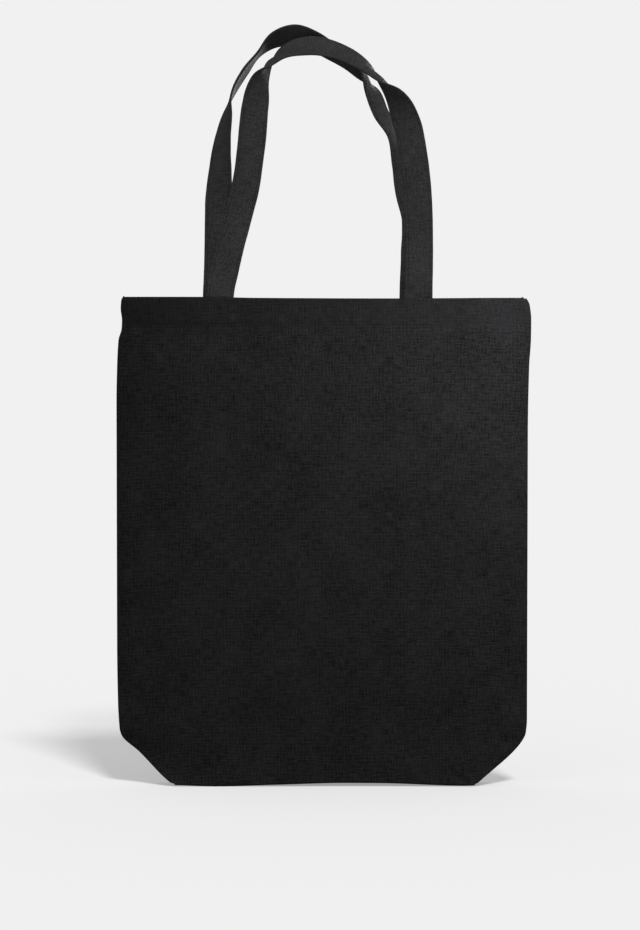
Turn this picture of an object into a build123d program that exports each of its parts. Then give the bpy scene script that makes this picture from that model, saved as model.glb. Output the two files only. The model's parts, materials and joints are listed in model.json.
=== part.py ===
"""Canvas tote bag with two twisted strap handles.

The bag stands folded: its walls bow slightly, its boxed base is tucked up inside as an
inverted V, and the tuck draws the two lower corners in at 45 degrees. Each half of the bag
is one cloth, which runs from the hem down the wall, round the bottom fold and up to the
bottom seam. The origin is at the centre of the base, on the floor. +Z is up, the bag's
width is along X, and its front faces -Y.
"""

import os
from math import atan2, cos, degrees, sin, sqrt

from build123d import *

# Driving dimensions, in millimetres.
BAG_WIDTH = 380  # across the side seams
BAG_HEIGHT = 450  # floor to the top of the hem
GUSSET = 92  # depth of the base when the bag is boxed out
STANCE = 32  # distance between the two bottom folds as the bag stands
BELLY_DEPTH = 41  # front to rear where the bag is fullest
MOUTH_DEPTH = 39  # front to rear across the hem
CLOTH = 1.2  # canvas, drawn a little thicker than it is
FLAT_MARGIN = 2  # flat wall past the strap ends, before it curves to the side seams
SIDE_RUN = 78  # the longest stretch over which a wall curves to its side seam
HEM_DEPTH = 27
HEM_BACKING = 1.0  # the hem's cloth behind a strap end
HEM_DRAW = 2.0  # how far the hem draws each side seam in
BELLY_LOW = 130  # the fullest stretch of the walls, from this height
BELLY_BELOW_HEM = 73  # to this far below the hem
FOOT = 2.5  # width of the flat that each bottom fold stands on

STRAP_WIDTH = 25.5
STRAP_THICKNESS = 2.0
HANDLE_SPACING = 182  # between the centres of a handle's two legs
FRONT_HANDLE_SHIFT = -3.0  # middle of each handle from the middle of the bag
REAR_HANDLE_SHIFT = -7.0
HANDLE_RISE = 236  # hem top to the strap's centre at the top of the arch
ARCH_INSET = 3.0  # how much nearer the middle plane the arch is than the legs
TAB_CLEAR = 3  # from a strap end inside the hem to the hem's lower edge
TAB_SIDE_GAP = 0.2  # between a strap end and the sides of its pocket
SWING_GAP = 0.3  # between a sewn strap end and the handle that swings on it

SEAM_GAP = 0.3  # between the front and rear halves at the side and bottom seams
SEAM_ALLOWANCE = 10  # width of the sewn edges inside the bag
SEAM_THICKNESS = 1.2
CORNER_SEAM_WIDTH = 8
CORNER_SEAM_MARGIN = 16  # from a corner seam to the bottom fold

THREAD_WIDTH = 0.8
THREAD_PROUD = 0.4
BOX_STITCH_INSET = 3.25  # from the edges of the strap end that it holds
HEM_STITCH_UP = 1.5  # hem stitching above the hem's lower edge

FRONT = -1
REAR = 1

# What follows from them.
HALF_WIDTH = BAG_WIDTH / 2
FOLD_HALF_WIDTH = (BAG_WIDTH - GUSSET) / 2
RIDGE = sqrt((GUSSET / 2) ** 2 - (STANCE / 2) ** 2)  # height of the tucked bottom seam
HEM_LOW = BAG_HEIGHT - HEM_DEPTH
HEM_THICKNESS = STRAP_THICKNESS + HEM_BACKING  # the two turned layers inside the wall
BELLY_HIGH = HEM_LOW - BELLY_BELOW_HEM
LARGEST_SHIFT = max(abs(FRONT_HANDLE_SHIFT), abs(REAR_HANDLE_SHIFT))
HANDLES_WIDTH = HANDLE_SPACING + STRAP_WIDTH + 2 * LARGEST_SHIFT
FLAT_WIDTH = max(HANDLES_WIDTH + 2 * FLAT_MARGIN, BAG_WIDTH - 2 * SIDE_RUN)
TAB_LENGTH = HEM_DEPTH - TAB_CLEAR
BOX_STITCH_WIDTH = STRAP_WIDTH - 2 * BOX_STITCH_INSET
BOX_STITCH_HEIGHT = TAB_LENGTH - BOX_STITCH_INSET
MOUTH_Y = MOUTH_DEPTH / 2
BASE_SLOPE = atan2(RIDGE, STANCE / 2 - FOOT)
SEAM_START = 2.5 * CLOTH + SEAM_GAP  # from a side seam's edge in to its sewn allowance
TAB_Y = MOUTH_Y - CLOTH - STRAP_THICKNESS / 2  # centre of a strap where it is sewn in
CUT_MARGIN = 5.0  # how far a cutting solid runs past what it cuts

# The handle's path, from its left leg to its right leg: how far across (-1 at the left leg,
# 1 at the right), how far up (1 at the top of the arch), and the strap's width direction as
# it looks from the front, along X and Z. What is missing from a full width is its lean in Y.
FRONT_HANDLE_PATH = [
    (-0.93, 0.14, 1.00, 0.00),
    (-0.84, 0.29, 0.96, 0.00),
    (-0.76, 0.43, 0.96, 0.00),
    (-0.69, 0.62, 0.98, 0.00),
    (-0.65, 0.73, 0.97, 0.00),
    (-0.60, 0.84, 0.78, -0.03),
    (-0.54, 0.90, 0.40, -0.05),
    (-0.45, 0.940, -0.12, 0.24),
    (-0.34, 0.968, -0.16, 0.45),
    (-0.21, 0.985, -0.04, 0.63),
    (-0.05, 0.992, 0.04, 0.69),
    (0.14, 0.977, 0.14, 0.59),
    (0.27, 0.950, 0.20, 0.43),
    (0.40, 0.920, 0.20, 0.33),
    (0.53, 0.888, 0.16, 0.20),
    (0.64, 0.855, 0.00, 0.00),
    (0.73, 0.813, -0.27, -0.18),
    (0.80, 0.765, -0.63, -0.14),
    (0.86, 0.715, -0.88, -0.04),
    (0.93, 0.590, -0.96, 0.00),
    (0.98, 0.460, -0.97, 0.00),
    (1.01, 0.340, -0.96, 0.00),
    (1.02, 0.180, -0.96, 0.00),
]
REAR_HANDLE_PATH = [
    (-0.98, 0.17, 0.96, 0.00),
    (-0.97, 0.30, 0.92, 0.00),
    (-0.96, 0.45, 0.82, 0.03),
    (-0.95, 0.56, 0.61, 0.04),
    (-0.91, 0.67, 0.41, 0.05),
    (-0.85, 0.78, 0.02, 0.02),
    (-0.77, 0.855, -0.17, 0.10),
    (-0.68, 0.905, -0.12, 0.08),
    (-0.55, 0.968, -0.05, 0.14),
    (-0.45, 1.005, 0.04, 0.41),
    (-0.30, 1.028, 0.07, 0.64),
    (-0.18, 1.028, 0.04, 0.67),
    (-0.03, 1.010, 0.14, 0.58),
    (0.15, 0.970, 0.24, 0.39),
    (0.30, 0.930, 0.30, 0.20),
    (0.41, 0.895, 0.10, 0.05),
    (0.50, 0.852, -0.35, -0.14),
    (0.61, 0.790, -0.50, -0.08),
    (0.72, 0.712, -0.58, -0.12),
    (0.84, 0.630, -0.62, -0.04),
    (0.89, 0.540, -0.72, 0.00),
    (0.96, 0.400, -0.88, 0.00),
    (1.01, 0.310, -0.92, 0.00),
    (1.01, 0.170, -0.95, 0.00),
]


# --- Walls -----------------------------------------------------------------------------


def level_at(height):
    """Half width, wall depth and side seam depth at a height, each along straight runs."""
    levels = [
        (0, FOLD_HALF_WIDTH, STANCE / 2, STANCE / 2),
        (RIDGE, HALF_WIDTH, STANCE / 2 + 1, 0),
        (BELLY_LOW, HALF_WIDTH, BELLY_DEPTH / 2, 0),
        (BELLY_HIGH, HALF_WIDTH, BELLY_DEPTH / 2, 0),
        (HEM_LOW, HALF_WIDTH - HEM_DRAW, MOUTH_Y, 0),
        (BAG_HEIGHT, HALF_WIDTH - HEM_DRAW, MOUTH_Y, 0),
    ]
    for (low, *below), (high, *above) in zip(levels, levels[1:]):
        if height <= high:
            share = (height - low) / (high - low)
            return [a + share * (b - a) for a, b in zip(below, above)]
    return list(levels[-1][1:])


def side_curve(height, inset):
    """Control points of a wall layer, from the side seam at -X to the flat middle.

    inset is how far the layer is inside the wall's outer face. The points move in
    proportion to it, so layers that share an inset share a face.
    """
    half_width, wall, seam = level_at(height)
    lens = 1 - seam / wall  # 0 at the bottom fold, which is straight, 1 above the base
    run = half_width - FLAT_WIDTH / 2
    shape = [  # along the run, depth on the lens, and how an inset moves the point
        (0.00, 0.00, 2.5, 0.0),
        (0.31, 0.70, 1.2, 0.7),
        (0.56, 1.00, 0.3, 1.0),
        (1.00, 1.00, 0.0, 1.0),
    ]
    points = []
    for along, depth, inset_x, inset_y in shape:
        along = along * lens + (len(points) / 3) * (1 - lens)
        inset_y = inset_y * lens + (1 - lens)
        x = -half_width + along * run + inset * inset_x
        y = seam + (wall - seam) * depth - inset * inset_y
        points.append((x, y))
    return points


def placed(points, side, mirrored=False):
    """The points on the front or rear half, and on the +X side when mirrored."""
    return [(-x if mirrored else x, side * y) for x, y in points]


def wall_block(side, inset):
    """Everything inside one wall layer, down to the floor and past the middle plane."""
    heights = [0, RIDGE, BELLY_LOW, BELLY_HIGH, HEM_LOW, BAG_HEIGHT]
    if inset:
        heights[-1] = BAG_HEIGHT + CUT_MARGIN
    past = -side * CUT_MARGIN
    with BuildPart() as block:
        for height in heights:
            left = placed(side_curve(height, inset), side)
            right = placed(side_curve(height, inset), side, mirrored=True)
            with BuildSketch(Plane.XY.offset(height)):
                with BuildLine():
                    Bezier(*left)
                    Line(left[-1], right[-1])
                    Bezier(*reversed(right))
                    Line(right[0], (right[0][0], past))
                    Line((right[0][0], past), (left[0][0], past))
                    Line((left[0][0], past), left[0])
                make_face()
        loft(ruled=True)
    return block.part


def wall_strip(side, outer_inset, inner_inset, low, high):
    """A band of cloth or thread along one wall, between two insets and two heights."""
    with BuildPart() as strip:
        for height in (low, high):
            outer = side_curve(height, outer_inset)
            inner = side_curve(height, inner_inset)
            with BuildSketch(Plane.XY.offset(height)):
                with BuildLine():
                    left, right = placed(outer, side), placed(outer, side, mirrored=True)
                    Bezier(*left)
                    Line(left[-1], right[-1])
                    Bezier(*reversed(right))
                    inside_left = placed(inner, side)
                    inside_right = placed(inner, side, mirrored=True)
                    Line(right[0], inside_right[0])
                    Bezier(*inside_right)
                    Line(inside_right[-1], inside_left[-1])
                    Bezier(*reversed(inside_left))
                    Line(inside_left[0], left[0])
                make_face()
        loft(ruled=True)
    return strip.part


def under_base(side, lift):
    """The space under the tucked base, up to its lower face (lift 0) or a face above it."""
    foot_y = STANCE / 2 - FOOT + lift / sin(BASE_SLOPE)
    ridge_z = RIDGE + lift / cos(BASE_SLOPE)
    profile = [
        (side * foot_y, 0),
        (0, ridge_z),
        (-side * CUT_MARGIN, ridge_z),
        (-side * CUT_MARGIN, -CUT_MARGIN),
        (side * foot_y, -CUT_MARGIN),
    ]
    with BuildPart() as wedge:
        with BuildSketch(Plane.YZ):
            with BuildLine():
                Polyline(*profile, close=True)
            make_face()
        extrude(amount=HALF_WIDTH + CUT_MARGIN, both=True)
    return wedge.part


def past_seam(side):
    """Everything on the other side of the seam plane, and the half of the gap before it."""
    depth = BELLY_DEPTH
    with BuildPart() as beyond:
        with Locations((0, side * (SEAM_GAP - depth) / 2, BAG_HEIGHT / 2)):
            Box(BAG_WIDTH + 2 * CUT_MARGIN, depth, BAG_HEIGHT + 4 * CUT_MARGIN)
    return beyond.part


def base_plane(side):
    """The upper face of the tucked base, with its origin on the ridge and +Z into the bag."""
    ridge_z = RIDGE + CLOTH / cos(BASE_SLOPE)
    return Plane(
        origin=(0, 0, ridge_z),
        x_dir=(1, 0, 0),
        z_dir=(0, side * sin(BASE_SLOPE), cos(BASE_SLOPE)),
    )


def save(piece, name):
    """Label a finished piece and write it."""
    piece.part.label = name
    export_step(piece.part, f"parts/{name}.step")


os.makedirs("parts", exist_ok=True)
panels = {}

for side, half in ((FRONT, "front"), (REAR, "rear")):
    outside, inside = wall_block(side, 0), wall_block(side, CLOTH)
    base_upper, base_lower = under_base(side, CLOTH), under_base(side, 0)
    beyond = past_seam(side)

    # The room inside the half: the inner block without the base that stands in it.
    with BuildPart() as room:
        add(inside)
        add(base_upper, mode=Mode.SUBTRACT)

    # One cloth: wall, bottom fold and half of the base.
    with BuildPart() as panel:
        add(outside)
        add(room.part, mode=Mode.SUBTRACT)
        add(base_lower, mode=Mode.SUBTRACT)
        add(beyond, mode=Mode.SUBTRACT)
    save(panel, f"{half}_panel")
    panels[side] = panel.part

    # Turned layers of the hem, with a pocket for each strap end.
    strip = wall_strip(side, CLOTH, CLOTH + HEM_THICKNESS, HEM_LOW, BAG_HEIGHT)
    shift = FRONT_HANDLE_SHIFT if side == FRONT else REAR_HANDLE_SHIFT
    leg_places = {"left": shift - HANDLE_SPACING / 2, "right": shift + HANDLE_SPACING / 2}
    tab_z = BAG_HEIGHT - TAB_LENGTH / 2
    pocket_width = STRAP_WIDTH + 2 * TAB_SIDE_GAP
    with BuildPart() as hem:
        add(strip)
        add(beyond, mode=Mode.SUBTRACT)
        with Locations(*[(x, side * TAB_Y, tab_z) for x in leg_places.values()]):
            Box(pocket_width, STRAP_THICKNESS, TAB_LENGTH, mode=Mode.SUBTRACT)
    save(hem, f"{half}_hem")

    # Strap ends sewn into the pockets, and the thread of the box stitches over them.
    for leg, x in leg_places.items():
        with BuildPart() as tab:
            with Locations((x, side * TAB_Y, tab_z)):
                Box(STRAP_WIDTH, STRAP_THICKNESS, TAB_LENGTH)
        save(tab, f"{half}_handle_{leg}_end")

        face = Plane(origin=(x, side * MOUTH_Y, tab_z), x_dir=(1, 0, 0), z_dir=(0, side, 0))
        inner_width = BOX_STITCH_WIDTH - 2 * THREAD_WIDTH
        inner_height = BOX_STITCH_HEIGHT - 2 * THREAD_WIDTH
        with BuildPart() as box_stitch:
            with BuildSketch(face):
                Rectangle(BOX_STITCH_WIDTH, BOX_STITCH_HEIGHT)
                Rectangle(inner_width, inner_height, mode=Mode.SUBTRACT)
            extrude(amount=THREAD_PROUD)
        save(box_stitch, f"{half}_{leg}_box_stitch")

    # The row of stitches that holds the hem, a thread's width below the box stitches.
    stitch_low = HEM_LOW + HEM_STITCH_UP - THREAD_WIDTH
    row = wall_strip(side, -THREAD_PROUD, 0, stitch_low, stitch_low + THREAD_WIDTH)
    with BuildPart() as hem_stitching:
        add(row)
        add(beyond, mode=Mode.SUBTRACT)
    save(hem_stitching, f"{half}_hem_stitching")

    # Corner seams, where the boxed corners were sewn across, inside on the base.
    slope_length = STANCE / 2 / cos(BASE_SLOPE)
    corner_high = SEAM_ALLOWANCE + SEAM_START
    corner_length = slope_length - CORNER_SEAM_MARGIN - corner_high
    corner_middle = corner_high + corner_length / 2
    corner_x = FOLD_HALF_WIDTH - CORNER_SEAM_WIDTH / 2
    for corner, x in (("left", -corner_x), ("right", corner_x)):
        with BuildPart() as corner_seam:
            with BuildSketch(base_plane(side)):
                with Locations((x, side * corner_middle)):
                    Rectangle(CORNER_SEAM_WIDTH, corner_length)
            extrude(amount=SEAM_THICKNESS)
        save(corner_seam, f"{half}_{corner}_corner_seam")


# --- Seams between the halves, pressed to the rear ---------------------------------------

with BuildPart() as bottom_seam:
    with BuildSketch(base_plane(REAR)):
        with Locations((0, 2 * SEAM_GAP + SEAM_ALLOWANCE / 2)):
            Rectangle(2 * FOLD_HALF_WIDTH, SEAM_ALLOWANCE)
    extrude(amount=SEAM_THICKNESS)
save(bottom_seam, "bottom_seam")

for name, direction in (("left_side_seam", -1), ("right_side_seam", 1)):
    with BuildPart() as side_seam:
        for height in (RIDGE + 4 * CLOTH, BELLY_HIGH, HEM_LOW - SEAM_GAP):
            edge = level_at(height)[0] - SEAM_START
            corner = (direction * edge, SEAM_GAP / 2)
            far = (direction * (edge - SEAM_ALLOWANCE), SEAM_GAP / 2 + SEAM_THICKNESS)
            with BuildSketch(Plane.XY.offset(height)):
                with BuildLine():
                    Polyline(corner, (far[0], corner[1]), far, (corner[0], far[1]), close=True)
                make_face()
        loft(ruled=True)
        add(panels[REAR], mode=Mode.SUBTRACT)
    save(side_seam, name)


# --- Handles -----------------------------------------------------------------------------


def handle_sections(path, side, shift):
    """A plane across the strap at each point of its path, from leg to leg.

    Each plane has the strap's width along its x and the strap's path along its z.
    """
    foot = BAG_HEIGHT + SWING_GAP
    arch_y = TAB_Y - ARCH_INSET
    middles, widths = [], []
    for across, up, width_x, width_z in path:
        y = TAB_Y + (arch_y - TAB_Y) * up
        x = shift + across * HANDLE_SPACING / 2
        lean = -side * sqrt(1 - width_x**2 - width_z**2)
        middles.append(Vector(x, side * y, BAG_HEIGHT + up * HANDLE_RISE))
        widths.append(Vector(width_x, lean, width_z))
    half = HANDLE_SPACING / 2
    middles.insert(0, Vector(shift - half, side * TAB_Y, foot))
    middles.append(Vector(shift + half, side * TAB_Y, foot))
    widths.insert(0, Vector(1, 0, 0))
    widths.append(Vector(-1, 0, 0))

    planes = []
    for i, (middle, width) in enumerate(zip(middles, widths)):
        along = middles[min(i + 1, len(middles) - 1)] - middles[max(i - 1, 0)]
        if i == 0:
            along = Vector(0, 0, 1)
        if i == len(middles) - 1:
            along = Vector(0, 0, -1)
        along = along - width * along.dot(width)
        planes.append(Plane(origin=middle, x_dir=width, z_dir=along.normalized()))
    return planes


for name, path, side, shift in (
    ("front_handle", FRONT_HANDLE_PATH, FRONT, FRONT_HANDLE_SHIFT),
    ("rear_handle", REAR_HANDLE_PATH, REAR, REAR_HANDLE_SHIFT),
):
    with BuildPart() as handle:
        for plane in handle_sections(path, side, shift):
            with BuildSketch(plane):
                Rectangle(STRAP_WIDTH, STRAP_THICKNESS)
        loft(ruled=True)
    save(handle, name)

print("base slope", round(degrees(BASE_SLOPE), 1), "ridge height", round(RIDGE, 1))
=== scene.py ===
"""Canvas tote bag: the cloth, straps, seams and stitching of the bag that stands folded.

Sizes inside the classes are in millimetres. Meshes are in metres, in the frame's own
coordinates: the bag's width is along X, its front faces -Y, and Z is up from the floor.
"""

import json
import logging
import math
from dataclasses import dataclass, field
from enum import Enum
from typing import Any

import bpy
import numpy as np
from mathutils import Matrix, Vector

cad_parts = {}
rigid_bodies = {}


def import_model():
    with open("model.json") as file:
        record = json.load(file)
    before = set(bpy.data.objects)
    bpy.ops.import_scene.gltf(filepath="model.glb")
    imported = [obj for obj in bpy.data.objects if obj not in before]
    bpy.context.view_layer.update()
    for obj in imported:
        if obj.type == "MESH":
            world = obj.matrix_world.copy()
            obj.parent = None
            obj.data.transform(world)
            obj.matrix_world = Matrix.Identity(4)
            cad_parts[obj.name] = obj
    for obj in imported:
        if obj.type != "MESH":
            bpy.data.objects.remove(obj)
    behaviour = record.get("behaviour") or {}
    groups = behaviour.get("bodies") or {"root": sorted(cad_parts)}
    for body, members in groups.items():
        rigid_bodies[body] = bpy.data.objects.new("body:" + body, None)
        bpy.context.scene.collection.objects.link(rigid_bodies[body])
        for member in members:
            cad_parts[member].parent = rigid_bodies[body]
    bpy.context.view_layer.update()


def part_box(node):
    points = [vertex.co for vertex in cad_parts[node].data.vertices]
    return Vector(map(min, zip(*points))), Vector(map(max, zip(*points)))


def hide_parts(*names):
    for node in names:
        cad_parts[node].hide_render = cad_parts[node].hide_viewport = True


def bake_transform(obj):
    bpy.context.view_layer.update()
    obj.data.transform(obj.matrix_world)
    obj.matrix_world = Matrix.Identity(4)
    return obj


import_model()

LOG = logging.getLogger("tote")
MM = 0.001
MATH, VECTOR = "ShaderNodeMath", "ShaderNodeVectorMath"
Array = np.ndarray
Node = bpy.types.Node


class Side(Enum):
    """Which half of the bag a piece belongs to, as the sign of its Y."""

    FRONT = -1
    REAR = 1

    @property
    def word(self) -> str:
        """The half's name, as the frame's nodes spell it."""
        return self.name.lower()

    @property
    def body(self) -> str:
        """The body that the half's rigid pieces move with."""
        return "bag_front" if self is Side.FRONT else "bag_back"

    @property
    def handle(self) -> str:
        """The half's handle, which is both a node and a body."""
        return f"{self.word}_handle"


# --- Small tools ------------------------------------------------------------------------


def linear(colour: str) -> tuple[float, float, float, float]:
    """Turn an sRGB hex colour into linear values.

    Args:
        colour: Six hex digits, such as "1c1c1d".

    Returns:
        Linear red, green, blue and an alpha of 1.
    """
    parts = [int(colour[i : i + 2], 16) / 255 for i in (0, 2, 4)]
    red, green, blue = ((c / 12.92) if c <= 0.04045 else ((c + 0.055) / 1.055) ** 2.4 for c in parts)
    return (red, green, blue, 1.0)


def add_node(tree: bpy.types.NodeTree, kind: str, inputs: dict | None = None, **settings: Any) -> Any:
    """Add a node, set its properties, and set or link its inputs.

    Args:
        tree: The shader or geometry tree.
        kind: The node's bl_idname.
        inputs: Input name or index to a value, to the socket that feeds it, or to the node
            whose first output feeds it.
        **settings: Properties of the node itself.

    Returns:
        The new node.
    """
    node = tree.nodes.new(kind)
    for name, value in settings.items():
        setattr(node, name, value)
    for key, value in (inputs or {}).items():
        if isinstance(value, Node):
            value = value.outputs[0]
        if isinstance(value, bpy.types.NodeSocket):
            tree.links.new(value, node.inputs[key])
        else:
            node.inputs[key].default_value = value
    return node


def ease(value: Array | float) -> Array:
    """Smooth step from 0 to 1, held outside them."""
    share = np.clip(value, 0.0, 1.0)
    return share * share * (3 - 2 * share)


def between(share: Array, gap: Array, ends: tuple[Array, Array], slopes: tuple[Array, Array]) -> Array:
    """Follow a cubic from one point to the next.

    Args:
        share: How far along, from 0 to 1.
        gap: The distance between the two points.
        ends: The values at the two points.
        slopes: The slopes at the two points.

    Returns:
        The value at each share.
    """
    back = 1 - share
    return (
        ends[0] * (1 + 2 * share) * back**2
        + slopes[0] * gap * share * back**2
        + ends[1] * share**2 * (3 - 2 * share)
        + slopes[1] * gap * share**2 * -back
    )


def through(at: Array | float, points: list[tuple[float, float]]) -> Array:
    """Follow a short list of points with a smooth monotone curve.

    Args:
        at: Where to read the curve.
        points: (position, value) pairs in rising order.

    Returns:
        The curve's value at each position, held past both ends.
    """
    x = np.array([p[0] for p in points], float)
    y = np.array([p[1] for p in points], float)
    slope = np.diff(y) / np.diff(x)
    tangent = np.zeros(len(x))
    inner = slope[:-1] * slope[1:] > 0
    mean = 2 * slope[:-1] * slope[1:] / np.where(inner, slope[:-1] + slope[1:], 1)
    tangent[1:-1] = np.where(inner, mean, 0)
    at = np.clip(np.asarray(at, float), x[0], x[-1])
    i = np.clip(np.searchsorted(x, at, side="right") - 1, 0, len(x) - 2)
    gap = x[i + 1] - x[i]
    return between((at - x[i]) / gap, gap, (y[i], y[i + 1]), (tangent[i], tangent[i + 1]))


def ripple(x: Array, z: Array, across: float, up: float, seed: int) -> Array:
    """Smooth random relief from -1 to 1.

    Args:
        x: Positions across, in mm.
        z: Positions up, in mm.
        across: Size of one bump across, in mm.
        up: Size of one bump up, in mm.
        seed: Which relief.

    Returns:
        The relief at each position.
    """
    cells = 64
    table = np.random.default_rng(seed).uniform(-1, 1, (cells, cells))
    gx, gz = x / across + cells / 2, z / up + cells / 2
    ix, iz = np.floor(gx).astype(int), np.floor(gz).astype(int)
    fx, fz = ease(gx - ix), ease(gz - iz)
    corner = [table[(ix + a) % cells, (iz + b) % cells] for a in (0, 1) for b in (0, 1)]
    low = corner[0] * (1 - fz) + corner[1] * fz
    high = corner[2] * (1 - fz) + corner[3] * fz
    return low * (1 - fx) + high * fx


def bump(x: Array, z: Array, middle: tuple[float, float], size: tuple[float, float]) -> Array:
    """A round hill of height 1 at middle, with a spread of size across and up."""
    return np.exp(-(((x - middle[0]) / size[0]) ** 2) - ((z - middle[1]) / size[1]) ** 2)


def crease(x: Array, z: Array, start: tuple[float, float], end: tuple[float, float], width: float) -> Array:
    """A ridge of height 1 from start to end that fades out towards both ends.

    Args:
        x: Positions across, in mm.
        z: Positions up, in mm.
        start: One end of the ridge.
        end: The other end.
        width: How far the ridge spreads to each side.

    Returns:
        The ridge's height at each position.
    """
    dx, dz = end[0] - start[0], end[1] - start[1]
    length = math.hypot(dx, dz)
    along = ((x - start[0]) * dx + (z - start[1]) * dz) / length
    off = ((x - start[0]) * dz - (z - start[1]) * dx) / length
    return np.exp(-((off / width) ** 2)) * ease(along / length * 4) * ease((length - along) / length * 2)


def new_piece(name: str, points: Array, faces: list, uv: Array | None = None) -> bpy.types.Object:
    """Make an object from points in mm.

    Args:
        name: The piece's name.
        points: One row of x, y, z for each point, in mm.
        faces: Point indices of each face.
        uv: One row for each point, in metres on the cloth, or None.

    Returns:
        The object, smooth shaded, at the origin.
    """
    mesh = bpy.data.meshes.new(name)
    mesh.from_pydata((np.asarray(points) * MM).tolist(), [], faces)
    if uv is not None:
        layer = mesh.uv_layers.new(name="cloth")
        corners = np.zeros(len(mesh.loops), int)
        mesh.loops.foreach_get("vertex_index", corners)
        layer.data.foreach_set("uv", np.asarray(uv, np.float32)[corners].ravel())
    mesh.polygons.foreach_set("use_smooth", [True] * len(mesh.polygons))
    piece = bpy.data.objects.new(name, mesh)
    bpy.context.scene.collection.objects.link(piece)
    return piece


def grid_faces(rows: int, columns: int, loop: bool = False, flip: bool = False) -> list:
    """Quads of a grid whose points run row by row, closed round each row if loop."""
    faces = []
    for row in range(rows - 1):
        for column in range(columns if loop else columns - 1):
            after = (column + 1) % columns
            quad = (
                row * columns + column,
                row * columns + after,
                (row + 1) * columns + after,
                (row + 1) * columns + column,
            )
            faces.append(quad[::-1] if flip else quad)
    return faces


def tube(name: str, rings: Array, uv: Array) -> bpy.types.Object:
    """Make a closed solid from rings of points, with its faces pointing outwards.

    Args:
        name: The piece's name.
        rings: Points in mm, as rings by points by xyz.
        uv: Cloth coordinates in metres, as rings by points by two.

    Returns:
        The object.
    """
    count, around = rings.shape[:2]
    flat = rings.reshape(-1, 3)
    faces = grid_faces(count, around, loop=True)
    faces.append(tuple(reversed(range(around))))
    faces.append(tuple(range((count - 1) * around, count * around)))
    volume = 0.0
    for face in faces:
        a = flat[face[0]]
        for i in range(1, len(face) - 1):
            volume += float(a @ np.cross(flat[face[i]], flat[face[i + 1]]))
    if volume < 0:
        faces = [tuple(reversed(face)) for face in faces]
    return new_piece(name, flat, faces, uv.reshape(-1, 2))


def apply_modifiers(piece: bpy.types.Object) -> bpy.types.Object:
    """Turn what a piece's modifiers make into its own plain mesh."""
    bpy.context.view_layer.update()
    shown = piece.evaluated_get(bpy.context.evaluated_depsgraph_get())
    mesh = bpy.data.meshes.new_from_object(shown)
    piece.modifiers.clear()
    piece.data = mesh
    mesh.name = piece.name
    return piece


# --- Finishes ---------------------------------------------------------------------------


@dataclass(frozen=True)
class Finish:
    """What every finish has: a dark colour, which is its own darker tone together with painted shade in its
    hollows, one on its crowns, and its gloss.
    """

    name: str
    # the dark end: the finish's darker tone, and painted shade where its relief is low
    shade: str
    crown: str
    roughness: float = 0.95
    shine: float = 0.05
    refraction: float = 1.45
    grip: float = 0.8  # how strongly the relief turns the light

    def material(self) -> bpy.types.Material:
        """Build the material once and return it."""
        done = bpy.data.materials.get(self.name)
        if done:
            return done
        made = bpy.data.materials.new(self.name)
        made.use_nodes = True
        tree = made.node_tree
        tree.nodes.clear()
        lightness, height, deep = self.pattern(tree)
        # Painted shade: the lightness follows the relief's height, so this mix paints the hollows darker than
        # the crowns.
        colour = add_node(
            tree,
            "ShaderNodeMix",
            {0: lightness, 6: linear(self.shade), 7: linear(self.crown)},
            data_type="RGBA",
            clamp_factor=True,
        ).outputs[2]
        relief = add_node(
            tree, "ShaderNodeBump", {"Strength": self.grip, "Distance": deep * MM, "Height": height}
        )
        look = {"Base Color": colour, "Roughness": self.roughness, "IOR": self.refraction, "Normal": relief}
        shader = add_node(tree, "ShaderNodeBsdfPrincipled", look)
        shader.inputs["Specular IOR Level"].default_value = self.shine
        add_node(tree, "ShaderNodeOutputMaterial", {0: shader})
        return made

    def pattern(self, tree: bpy.types.NodeTree) -> tuple[Node, Node, float]:
        """Lightness, height, and how many mm deep the height is."""
        raise NotImplementedError


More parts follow.
